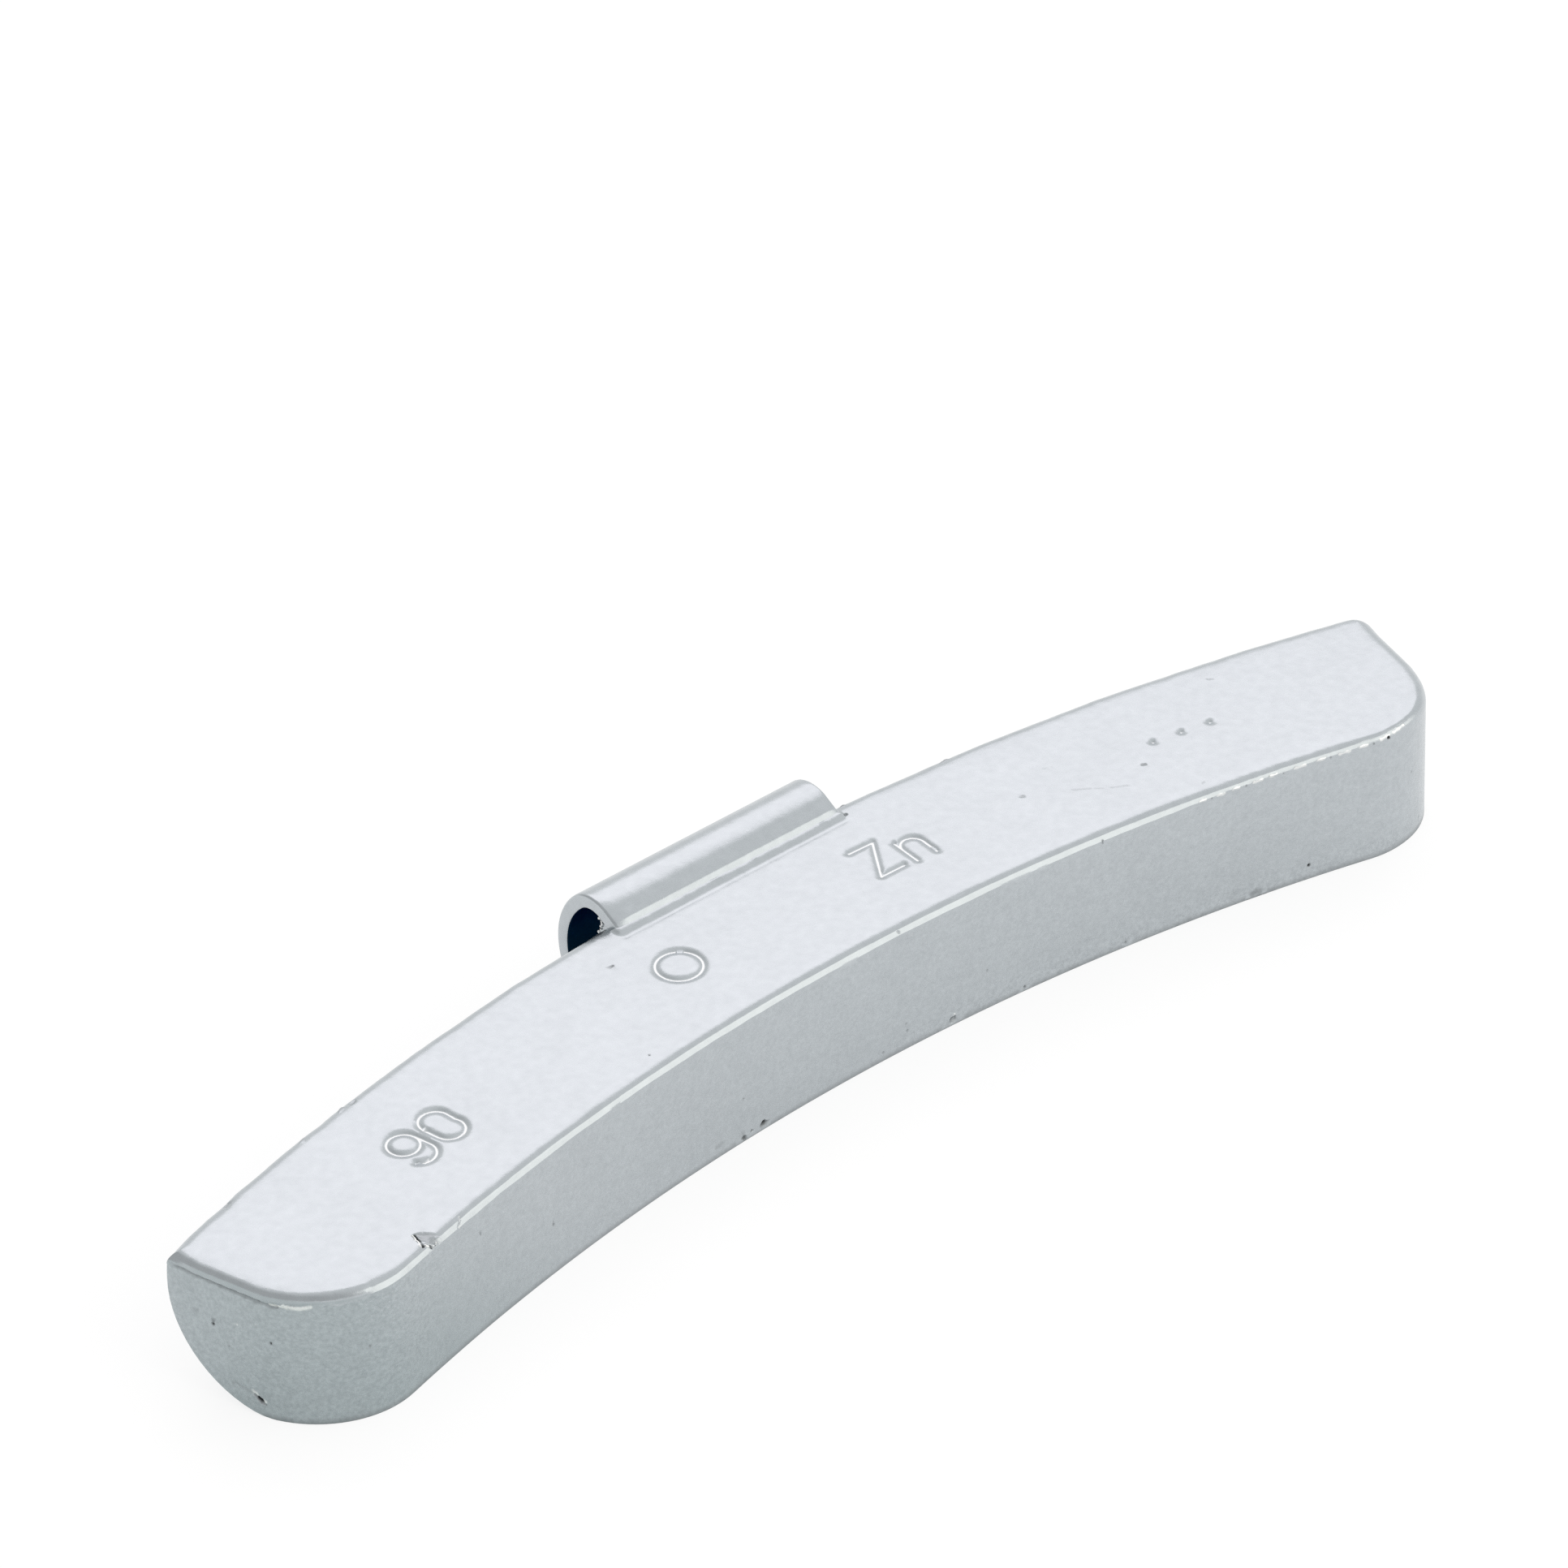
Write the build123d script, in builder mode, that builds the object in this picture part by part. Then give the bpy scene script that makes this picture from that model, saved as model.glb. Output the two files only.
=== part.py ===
from build123d import *
from math import asin, cos, radians, sin, tan
import os

# Clip-on wheel balance weight, lying with its marked face up.
# X runs along the bar, Y points to its convex side and Z is up.
# The origin is the middle of the footprint, on the surface that the weight lies on.

# Cast bar, millimetres and degrees
rim_radius = 183.0        # wheel axis to the convex edge of the marked face
bar_width = 13.7          # convex edge to concave edge of the marked face
bar_height = 10.15        # underside to marked face
bar_angle = 34.3          # between the two ends, about the wheel axis
wall_draft = 1.7          # every wall leans out towards the underside
front_corner = 7.1        # upright corners of the concave side
seat_radius = 8.1         # lower convex edge, which nests inside the flange's curl
back_corner = 1.0         # upright corners of the convex side
top_round = 0.8           # edge of the marked face

# Spring clip, millimetres and degrees
clip_width = 20.0         # length of the roll, along the bar
clip_gauge = 1.05         # thickness of the strip
clip_setback = 1.73       # convex edge to where the strip leaves the marked face
clip_slope = 30.5         # climb of the strip as it leaves the bar
crown_height = 1.3        # top of the roll above the marked face
crown_radius = 1.6        # inside of the roll at its top
shoulder_angle = 44.0     # fall of the strip where the tight crown turns into the wide bow
bow_radius = 4.8          # inside of the roll behind the flange
bow_angle = 86.0          # turn of the bow, from the shoulder to the free edge
strip_round = 0.2         # edges of the strip's two sheared sides
tail_length = 6.0         # strip inside the casting
key_radius = 1.4          # holes in the tail that the casting runs through
key_spacing = 10.0        # between the two holes

# Plan of the bar about the wheel axis
half_angle = bar_angle / 2
front_radius = rim_radius - bar_width
foot_spread = bar_height * tan(radians(wall_draft))
corner_path = front_radius + front_corner
corner_angle = radians(half_angle) - asin(front_corner / corner_path)
front_reach = corner_path * cos(corner_angle) - front_corner - foot_spread

# Roll of the clip, measured from the convex edge of the marked face
slope = radians(clip_slope)
shoulder = radians(shoulder_angle)
crown_outer = crown_radius + clip_gauge
bow_outer = bow_radius + clip_gauge
crown_drop = crown_outer - crown_height
crown_out = (crown_outer - crown_drop * cos(slope)) / sin(slope) - clip_setback
bow_out = crown_out - (bow_outer - crown_outer) * sin(shoulder)
back_reach = rim_radius + bow_out + bow_outer

# The footprint is centred, so its reach to the front and to the back sets the wheel axis
axis_y = -(front_reach + back_reach) / 2
edge_y = axis_y + rim_radius
wheel_axis = Axis((0, axis_y, 0), (0, 0, 1))

# Centre of the seat's round, which runs smoothly into the drafted wall above it and the underside
draft = radians(wall_draft)
seat_y = edge_y + (bar_height - seat_radius) * tan(draft) - seat_radius / cos(draft)

# Middle line of the strip
half_gauge = clip_gauge / 2
crown_line = crown_radius + half_gauge
bow_line = bow_radius + half_gauge
root_y = edge_y - clip_setback + half_gauge * sin(slope)
root_z = bar_height - half_gauge * cos(slope)
leg_end = (
    edge_y + crown_out - crown_line * sin(slope),
    bar_height - crown_drop + crown_line * cos(slope),
)
tail_end = (root_y - tail_length * cos(slope), root_z - tail_length * sin(slope))
tail_plane = Plane(
    origin=(0, (root_y + tail_end[0]) / 2, (root_z + tail_end[1]) / 2),
    x_dir=(1, 0, 0),
    z_dir=(0, -sin(slope), cos(slope)),
)

# One strip of spring steel: tail in the casting, crown over the flange's lip, bow behind it
with BuildPart() as spring_clip:
    with BuildSketch(Plane.YZ):
        with BuildLine():
            leg = Line(tail_end, leg_end)
            crown = JernArc(leg @ 1, leg % 1, crown_line, -(clip_slope + shoulder_angle))
            JernArc(crown @ 1, crown % 1, bow_line, -bow_angle)
        trace(line_width=clip_gauge)
    extrude(amount=clip_width / 2, both=True)
    sheared = spring_clip.faces().sort_by(Axis.X)
    fillet(sheared[0].edges() + sheared[-1].edges(), strip_round)
    with BuildSketch(tail_plane):
        with GridLocations(key_spacing, 0, 2, 1):
            Circle(key_radius)
    extrude(amount=clip_gauge, both=True, mode=Mode.SUBTRACT)

# One zinc casting, drafted for the die, with the clip's tail cast into it
with BuildPart() as cast_body:
    with BuildSketch(Plane.XY.offset(bar_height)) as plan:
        with BuildLine():
            back = CenterArc((0, axis_y), rim_radius, 90 - half_angle, bar_angle)
            front = CenterArc((0, axis_y), front_radius, 90 - half_angle, bar_angle)
            Line(back @ 0, front @ 0)
            Line(back @ 1, front @ 1)
        make_face()
        fillet(plan.vertices().sort_by(Axis.Y)[:2], front_corner)
        fillet(plan.vertices().sort_by(Axis.Y)[-2:], back_corner)
    extrude(amount=-bar_height, taper=-wall_draft)
    fillet(cast_body.faces().sort_by(Axis.Z)[-1].edges(), top_round)

    # The lower convex edge is cut away to the round of the flange's curl
    with BuildSketch(Plane.YZ):
        with BuildLine():
            seat = CenterArc((seat_y, seat_radius), seat_radius, -90, 90 + wall_draft)
            Polyline(seat @ 1, (seat_y + 2 * seat_radius, (seat @ 1).Y),
                     (seat_y + 2 * seat_radius, -seat_radius), (seat_y, -seat_radius), seat @ 0)
        make_face()
    revolve(axis=wheel_axis, mode=Mode.SUBTRACT)
    add(spring_clip.part, mode=Mode.SUBTRACT)

cast_body.part.label = "cast_body"
spring_clip.part.label = "spring_clip"

os.makedirs("parts", exist_ok=True)
export_step(cast_body.part, "parts/cast_body.step")
export_step(spring_clip.part, "parts/spring_clip.step")
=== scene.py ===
import math

import bmesh
import bpy
import numpy as np
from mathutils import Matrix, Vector, noise


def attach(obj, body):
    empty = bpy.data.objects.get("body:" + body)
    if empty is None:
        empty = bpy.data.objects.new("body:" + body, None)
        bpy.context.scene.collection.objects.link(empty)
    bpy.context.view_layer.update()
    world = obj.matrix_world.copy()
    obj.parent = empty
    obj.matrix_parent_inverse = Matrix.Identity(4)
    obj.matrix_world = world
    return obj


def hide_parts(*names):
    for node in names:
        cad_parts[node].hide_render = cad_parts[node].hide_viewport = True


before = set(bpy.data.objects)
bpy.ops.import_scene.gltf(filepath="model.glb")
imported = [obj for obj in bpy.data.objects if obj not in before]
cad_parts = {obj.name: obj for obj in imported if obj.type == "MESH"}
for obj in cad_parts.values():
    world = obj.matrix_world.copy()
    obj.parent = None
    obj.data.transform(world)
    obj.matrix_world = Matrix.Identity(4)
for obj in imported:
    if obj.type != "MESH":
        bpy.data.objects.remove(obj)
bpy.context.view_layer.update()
mm = 0.001            # pieces are modelled in millimetres and brought to metres when done


# working habits

def letGo():
    if bpy.context.object and bpy.context.object.mode != "OBJECT":
        bpy.ops.object.mode_set(mode="OBJECT")
    bpy.ops.object.select_all(action="DESELECT")


def workOn(piece):
    letGo()
    piece.select_set(True)
    bpy.context.view_layer.objects.active = piece


def edit():
    bpy.ops.object.mode_set(mode="EDIT")


def leave():
    bpy.ops.object.mode_set(mode="OBJECT")


def settle():
    bpy.ops.object.transform_apply(location=True, rotation=True, scale=True)


def pick(what, test):
    # select in edit mode whatever passes the test, and say how many
    bpy.ops.mesh.select_mode(type={"verts": "VERT", "edges": "EDGE", "faces": "FACE"}[what])
    bpy.ops.mesh.select_all(action="DESELECT")
    mesh = bpy.context.object.data
    shape = bmesh.from_edit_mesh(mesh)
    found = [item for item in getattr(shape, what) if test(item)]
    for item in found:
        item.select_set(True)
    bmesh.update_edit_mesh(mesh)
    return len(found)


def middle(edge):
    return (edge.verts[0].co + edge.verts[1].co) / 2


def slices(axis, places, test=None):
    # flat cuts right through the piece, or through the faces that pass the test
    facing = [0, 0, 0]
    facing[axis] = 1
    bpy.ops.mesh.select_mode(type="VERT")
    for place in places:
        spot = [0, 0, 0]
        spot[axis] = place
        if test:
            pick("faces", test)
        else:
            bpy.ops.mesh.select_all(action="SELECT")
        bpy.ops.mesh.bisect(plane_co=spot, plane_no=facing, threshold=1e-5)


def addModifier(piece, kind, **settings):
    workOn(piece)
    modifier = piece.modifiers.new(kind.lower(), kind)
    for name, value in settings.items():
        setattr(modifier, name, value)
    bpy.ops.object.modifier_apply(modifier=modifier.name)


def points(piece):
    flat = np.zeros(len(piece.data.vertices) * 3)
    piece.data.vertices.foreach_get("co", flat)
    return flat.reshape(-1, 3)


def movePoints(piece, places):
    piece.data.vertices.foreach_set("co", places.ravel())
    piece.data.update()


def paintPoints(piece, name, values):
    layer = piece.data.attributes.new(name, "FLOAT", "POINT")
    layer.data.foreach_set("value", values)


def joinTo(piece, bits):
    workOn(piece)
    for bit in bits:
        bit.select_set(True)
    bpy.ops.object.join()


def wave(places, size, seed=0.0):
    # smooth noise between -1 and 1 at each place
    shift = Vector((seed, 1.7 * seed, -seed))
    return np.array([noise.noise(Vector(p) / size + shift) for p in places])


def takeFaces(piece, mask):
    # enter edit mode with just these faces selected
    mesh = piece.data
    workOn(piece)
    mesh.vertices.foreach_set("select", np.zeros(len(mesh.vertices), bool))
    mesh.edges.foreach_set("select", np.zeros(len(mesh.edges), bool))
    mesh.polygons.foreach_set("select", mask)
    bpy.context.tool_settings.mesh_select_mode = (False, False, True)
    edit()


def faceMiddles(piece):
    flat = np.zeros(len(piece.data.polygons) * 3)
    piece.data.polygons.foreach_get("center", flat)
    return flat.reshape(-1, 3)


def smoothStep(value, low, high):
    share = np.clip((value - low) / (high - low), 0, 1)
    return share * share * (3 - 2 * share)


def bell(gap, wide):
    return np.where(gap < wide, 0.5 + 0.5 * np.cos(np.pi * np.minimum(gap / wide, 1)), 0)


def strokeGap(spots, line):
    # distance from each spot to the nearest run of a line
    best = np.full(len(spots), 1e9)
    for a, b in zip(np.array(line[:-1]), np.array(line[1:])):
        run = b - a
        share = np.clip((spots - a) @ run / max(run @ run, 1e-12), 0, 1)
        best = np.minimum(best, np.linalg.norm(spots - a - share[:, None] * run, axis=1))
    return best


def toMetres(piece):
    workOn(piece)
    piece.scale = (mm, mm, mm)
    settle()


# cast bar: modelled straight and bent at the end. x runs along it, y towards its convex side

bar = {
    "length": 103.40,        # at the neutral line of the bend
    "front": -3.53,          # concave edge of the marked face, from the neutral line
    "back": 10.15,           # convex edge
    "height": 10.15,
    "draft": 1.7,
    "frontCorner": 7.1,
    "backCorner": 1.35,      # right end; the left one came out sharp
    "leftTrim": (0.05, 0.17),    # the left end is drawn in, more so at its sharp corner
    "rightPush": 0.10,       # and the right end stands out
    "rightCorner": 0.11,
    "seat": 8.1,             # round of the lower convex edge
    "neutral": 172.85,       # radius of the neutral line
    "axisY": -175.4694,      # wheel axis
    "footRound": 0.03,
    "grid": 0.5,
    "rimRows": 9,            # insets of the marked face make its edge
    "rimStep": 0.14,
    # sections of that edge, from the wall up to the face: inward, down
    "facetEdge": ((0, 0.575), (0.063, 0.463), (0.127, 0.352), (0.19, 0.24), (0.215, 0.224), (0.345, 0.139),
                  (0.475, 0.074), (0.61, 0.034), (0.75, 0.012), (1.26, 0)),
    "wornEdge": ((0, 0.43), (0.043, 0.365), (0.087, 0.30), (0.13, 0.235), (0.165, 0.21), (0.30, 0.135),
                 (0.44, 0.072), (0.59, 0.03), (0.75, 0.008), (1.26, 0)),
    "plainEdge": ((0, 0.60), (0.013, 0.475), (0.052, 0.356), (0.115, 0.247), (0.198, 0.154), (0.30, 0.08),
                  (0.395, 0.036), (0.496, 0.009), (0.60, 0), (1.26, 0)),
    "leftEdge": ((0, 1.25), (-0.02, 1.0), (-0.12, 0.72), (-0.11, 0.56), (-0.10, 0.40), (-0.02, 0.25),
                 (0.08, 0.155), (0.20, 0.095), (0.40, 0.045), (1.26, 0)),
    "rightRound": (1.26, 1.2),
    "backRound": ((-52, 0.62), (-10, 0.62), (10, 0.66), (30, 0.74), (45, 0.9), (52, 1.1)),
    "facetStart": 26.0,      # degrees into the front left corner
    "facetEnd": 44.5,        # along the bar
    "cornerAt": -44.6,       # where that corner's round begins
    "cornerRun": 0.124,      # length of a degree of it
    "scoopAt": -41.5,        # the edge is plain where it is scooped out
    "wornFrom": 29,          # and worn from here on
}
lean = math.tan(math.radians(bar["draft"]))        # of the walls, outward for each unit down


def makeBar():
    length, front, back, height = bar["length"], bar["front"], bar["back"], bar["height"]
    width, midY = back - front, (front + back) / 2
    deep = height + 1                     # runs past the underside, which the seat block trims
    spread = deep * lean
    letGo()
    bpy.ops.mesh.primitive_plane_add(size=1, location=(0, midY, height))
    piece = bpy.context.object
    piece.name = "weight_bar"
    piece.scale = (length, width, 1)
    settle()
    edit()
    pick("verts", lambda v: v.co.y < midY)
    bpy.ops.mesh.bevel(offset=bar["frontCorner"], segments=22, affect="VERTICES", clamp_overlap=False)
    pick("verts", lambda v: v.co.y > back - 0.01 and v.co.x > 0)
    bpy.ops.mesh.bevel(offset=bar["backCorner"], segments=8, affect="VERTICES", clamp_overlap=False)
    pick("edges", lambda e: e.calc_length() > 20)
    bpy.ops.mesh.subdivide(number_cuts=23)
    bpy.ops.mesh.select_all(action="SELECT")
    bpy.ops.mesh.extrude_region_move(TRANSFORM_OT_translate={"value": (0, 0, -deep)})
    pick("verts", lambda v: v.co.z < 0)
    bpy.ops.transform.resize(
        value=(1 + 2 * spread / length, 1 + 2 * spread / width, 1), center_override=(0, midY, 0))
    bpy.ops.mesh.select_all(action="SELECT")
    bpy.ops.mesh.normals_make_consistent(inside=False)

    # a long block with the seat's round along its lower back edge trims the bar
    seatBack = back + (height - bar["seat"]) * lean - 0.02
    letGo()
    bpy.ops.mesh.primitive_cube_add(size=1, location=(0, seatBack - 15, 10))
    block = bpy.context.object
    block.scale = (130, 30, 20)
    settle()
    edit()
    pick("edges", lambda e: middle(e).z < 0.01 and middle(e).y > seatBack - 0.01)
    bpy.ops.mesh.bevel(offset=bar["seat"], segments=16, affect="EDGES", clamp_overlap=False)
    leave()
    addModifier(piece, "BOOLEAN", operation="INTERSECT", solver="EXACT", object=block)
    bpy.data.objects.remove(block)

    # rows for the edge of the marked face
    edit()
    bpy.ops.mesh.select_all(action="SELECT")
    bpy.ops.mesh.remove_doubles(threshold=2e-3)
    pick("faces", lambda f: f.normal.z > 0.99)
    for row in range(bar["rimRows"]):
        bpy.ops.mesh.inset(thickness=bar["rimStep"], depth=0, use_boundary=True, use_even_offset=True)
    leave()

    # a small round at the foot and down the ends of the seat
    shape = bmesh.new()
    shape.from_mesh(piece.data)
    weight = shape.edges.layers.float.new("bevel_weight_edge")
    for edge in shape.edges:
        if edge.calc_face_angle() > 0.5 and middle(edge).z < height - 0.01:
            edge[weight] = bar["footRound"]
    shape.to_mesh(piece.data)
    shape.free()
    addModifier(piece, "BEVEL", width=1, segments=3, limit_method="WEIGHT", use_clamp_overlap=False)

    edit()
    slices(1, np.arange(front + 1.4, back - 1.4, bar["grid"]),
           lambda f: f.normal.z > 0.9 or abs(f.normal.x) > 0.5)
    slices(2, np.arange(0.5, height - 1.45, bar["grid"]),
           lambda f: abs(f.normal.z) < 0.5 and f.normal.y < 0.5)
    slices(0, np.arange(-51.5, 51.6, bar["grid"]))
    slices(0, np.arange(29.25, 46.5, bar["grid"]))       # the worn part of the front edge
    pick("faces", lambda f: f.normal.z < -0.99)
    bpy.ops.mesh.dissolve_faces()
    leave()
    print("bar:", len(piece.data.polygons), "faces")
    return piece


def roundTable(inward, down):
    turns = np.radians(np.linspace(90, 0, bar["rimRows"] + 1))
    return np.stack([inward * (1 - np.sin(turns)), down * (1 - np.cos(turns))], axis=1)


def shapeRim(piece):
    # each row of the marked face's rim goes to its place in the section of its side
    spots = points(piece)
    half, front, back = bar["length"] / 2, bar["front"], bar["back"]
    rim = np.flatnonzero(spots[:, 2] > bar["height"] - 1.5)
    # stray points of the wall slide down with it
    lift = np.clip((spots[rim, 2] - bar["height"] + 1.6) / 1.6, 0, 1)
    top = lift > 0.999
    x, y = spots[rim, 0], spots[rim, 1]
    side = np.sign(x)
    walls = np.stack([y - front, back - y, half - np.abs(x)])
    inward = walls.min(axis=0)
    nearest = walls.argmin(axis=0)
    outward = np.stack([np.where(nearest == 2, side, 0), np.choose(nearest, (-1, 1, 0))], axis=1)
    turned = np.where(nearest == 2, 90.0, 0.0)          # degrees from the long edge to the end
    atFront = y < (front + back) / 2
    for isFront, radius in ((True, bar["frontCorner"]), (False, bar["backCorner"])):
        middleY = front + radius if isFront else back - radius
        there = (np.abs(x) > half - radius) & ((y < middleY) if isFront else (y > middleY) & (x > 0))
        arm = np.stack([x - side * (half - radius), y - middleY], axis=1)
        reach = np.maximum(np.linalg.norm(arm, axis=1), 1e-9)
        inward = np.where(there, radius - reach, inward)
        outward = np.where(there[:, None], arm / reach[:, None], outward)
        turned = np.where(there, np.degrees(np.arctan2(np.abs(arm[:, 0]), np.abs(arm[:, 1]))), turned)

    row = np.clip(inward / bar["rimStep"], 0, bar["rimRows"])
    use = inward < bar["rimRows"] * bar["rimStep"] - 1e-4

    def section(table):
        table = np.array(table)
        return np.stack([np.interp(row, np.arange(len(table)), table[:, k]) for k in (0, 1)], axis=1)

    leftCorner = (turned > 0) & (turned < 90) & atFront & (x < 0)
    along = np.where(leftCorner, bar["cornerAt"] - turned * bar["cornerRun"], x)
    start = bar["cornerAt"] - bar["facetStart"] * bar["cornerRun"]
    facet = smoothStep(along, start - 0.25, start + 0.05)
    facet *= 1 - smoothStep(along, bar["facetEnd"] - 1.5, bar["facetEnd"])
    worn = 0.1 + 0.3 * wave(spots[rim] * (1, 0, 0), 0.9, 4) + 0.4 * wave(spots[rim] * (1, 0, 0), 0.37, 9)
    facet = facet * (1 - worn * smoothStep(along, bar["wornFrom"], bar["wornFrom"] + 3))
    facet = facet * (1 - bell(np.abs(along - bar["scoopAt"]), 0.7))
    sharpSection = section(bar["facetEdge"])
    wearing = smoothStep(along, bar["wornFrom"] - 2, bar["wornFrom"] + 4)[:, None]
    sharpSection += wearing * (section(bar["wornEdge"]) - sharpSection)
    frontSection = section(bar["plainEdge"]) + facet[:, None] * (sharpSection - section(bar["plainEdge"]))
    down = np.interp(x, *zip(*bar["backRound"]))
    backSection = section(roundTable(1.1, 1.0)) * np.stack([np.ones(len(x)), down], axis=1)
    longSection = np.where(atFront[:, None], frontSection, backSection)
    endSection = np.where((x < 0)[:, None],
                          section(bar["leftEdge"]), section(roundTable(*bar["rightRound"])))
    share = smoothStep(turned, np.where(atFront, 30, 5), 88)[:, None]
    placed = longSection * (1 - share) + endSection * share
    # both edges share one round at the sharp corner, where their rows meet on a mitre
    sharp = (x < 0) & ~atFront
    near = np.where(nearest == 2, back - y, x + half)
    meet = np.where(sharp, 1 - smoothStep(near, 0.2, 2.4), 0)[:, None]
    placed = placed * (1 - meet) + section(roundTable(1.1, 0.95)) * meet
    mitre = sharp & (np.abs(back - y - x - half) < 1e-3)
    outward = np.where(mitre[:, None], (-1, 1), outward)

    # the hand of the caster: a slightly uneven edge
    uneven = 1 + 0.10 * wave(spots[rim], 2.4, 2) + 0.05 * wave(spots[rim], 0.9, 7)
    placed *= uneven[:, None]
    ragged = np.where(nearest == 1, 1 - smoothStep(x, 5, 15), 0) * smoothStep(x, -50, -47)
    placed[:, 0] += ragged * (0.07 * wave(spots[rim] * (1, 0, 0), 1.5, 11))
    shift = np.where(top, inward - (placed[:, 0] - placed[:, 1] * lean), placed[:, 1] * lift * lean)
    new = spots[rim].copy()
    new[:, :2] += outward * shift[:, None]
    new[:, 2] -= placed[:, 1] * lift
    spots[rim[use]] = new[use]
    movePoints(piece, spots)
    edit()
    slices(2, (8.9, 9.25), lambda f: abs(f.normal.z) < 0.3 and f.normal.y < 0.5)
    leave()


# sunk marks: the number of grams, a plain ring, the metal's symbol and three pips

def arc(centre, radius, start, end, steps=28):
    turns = np.radians(np.linspace(start, end, steps))
    return [(centre[0] + radius * math.cos(t), centre[1] + radius * math.sin(t)) for t in turns]


marks = {
    "wide": 0.64,            # middle of a stroke to its lip
    "deep": 0.185,
    "flat": 0.06,            # half the width of its flat bottom
    "bright": 0.075,         # half the width of the highlight painted along the bottom
    "cuts": 6,
    "zones": ((-37.0, -29.8, 0.9, 6.4), (-11.9, -6.9, 0.9, 6.1), (6.1, 12.9, 0.9, 6.2),
              (29.9, 37.2, 2.1, 5.1)),
    "strokes": [
        # 9
        arc((-34.89, 4.22), 1.1, 0, 360),
        [(-33.79, 4.22), (-33.74, 2.87)] + arc((-34.89, 2.92), 1.15, 0, -150),
        # 0
        arc((-31.84, 4.12), 1.1, 0, 180) + arc((-31.84, 2.97), 1.1, 180, 360)
        + [(-30.80, 3.35), (-30.74, 4.12)],
        # ring
        arc((-9.38, 3.47), 1.6, 0, 360, 48),
        # Z and n
        [(7.13, 5.20), (9.13, 5.20), (7.13, 1.80), (9.13, 1.85)],
        [(10.18, 1.70), (10.18, 4.10)],
        arc((11.03, 3.25), 0.85, 180, 0) + [(11.88, 1.75)],
    ],
    "pips": ((31.23, 3.59), (33.53, 3.59), (35.83, 3.59)),
}


def markGap(flat):
    # distance to the middle of the nearest mark
    gap = np.full(len(flat), 9.0)
    for line in marks["strokes"]:
        gap = np.minimum(gap, strokeGap(flat, line))
    for centre in marks["pips"]:
        gap = np.minimum(gap, np.linalg.norm(flat - centre, axis=1))
    return gap


def sinkMarks(piece):
    workOn(piece)
    edit()
    for left, right, low, high in marks["zones"]:
        pick("faces", lambda f: f.normal.z > 0.99 and left < f.calc_center_median().x < right
             and low < f.calc_center_median().y < high)
        bpy.ops.mesh.subdivide(number_cuts=marks["cuts"])
    leave()
    spots = points(piece)
    top = spots[:, 2] > bar["height"] - 0.01
    gap = np.clip((markGap(spots[top, :2]) - marks["flat"]) / (marks["wide"] - marks["flat"]), 0, 1)
    spots[top, 2] -= marks["deep"] * (1 - gap) ** 2
    movePoints(piece, spots)
    print("marks:", len(piece.data.polygons), "faces")


# small flaws of the casting and its coat, on the straight bar

def onFront(x, z, out=0.0):
    return (x, bar["front"] - (bar["height"] - z) * lean - out, z)


def onLeft(y, z):
    return (-bar["length"] / 2 - (bar["height"] - z) * lean, y, z)


def onCorner(angle, z):
    # front left corner, degrees from the front
    radius = bar["frontCorner"] + (bar["height"] - z) * lean
    turn = math.radians(angle)
    return (-bar["length"] / 2 + bar["frontCorner"] - radius * math.sin(turn),
            bar["front"] + bar["frontCorner"] - radius * math.cos(turn), z)


def onTop(x, y):
    return (x, y, bar["height"])


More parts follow.
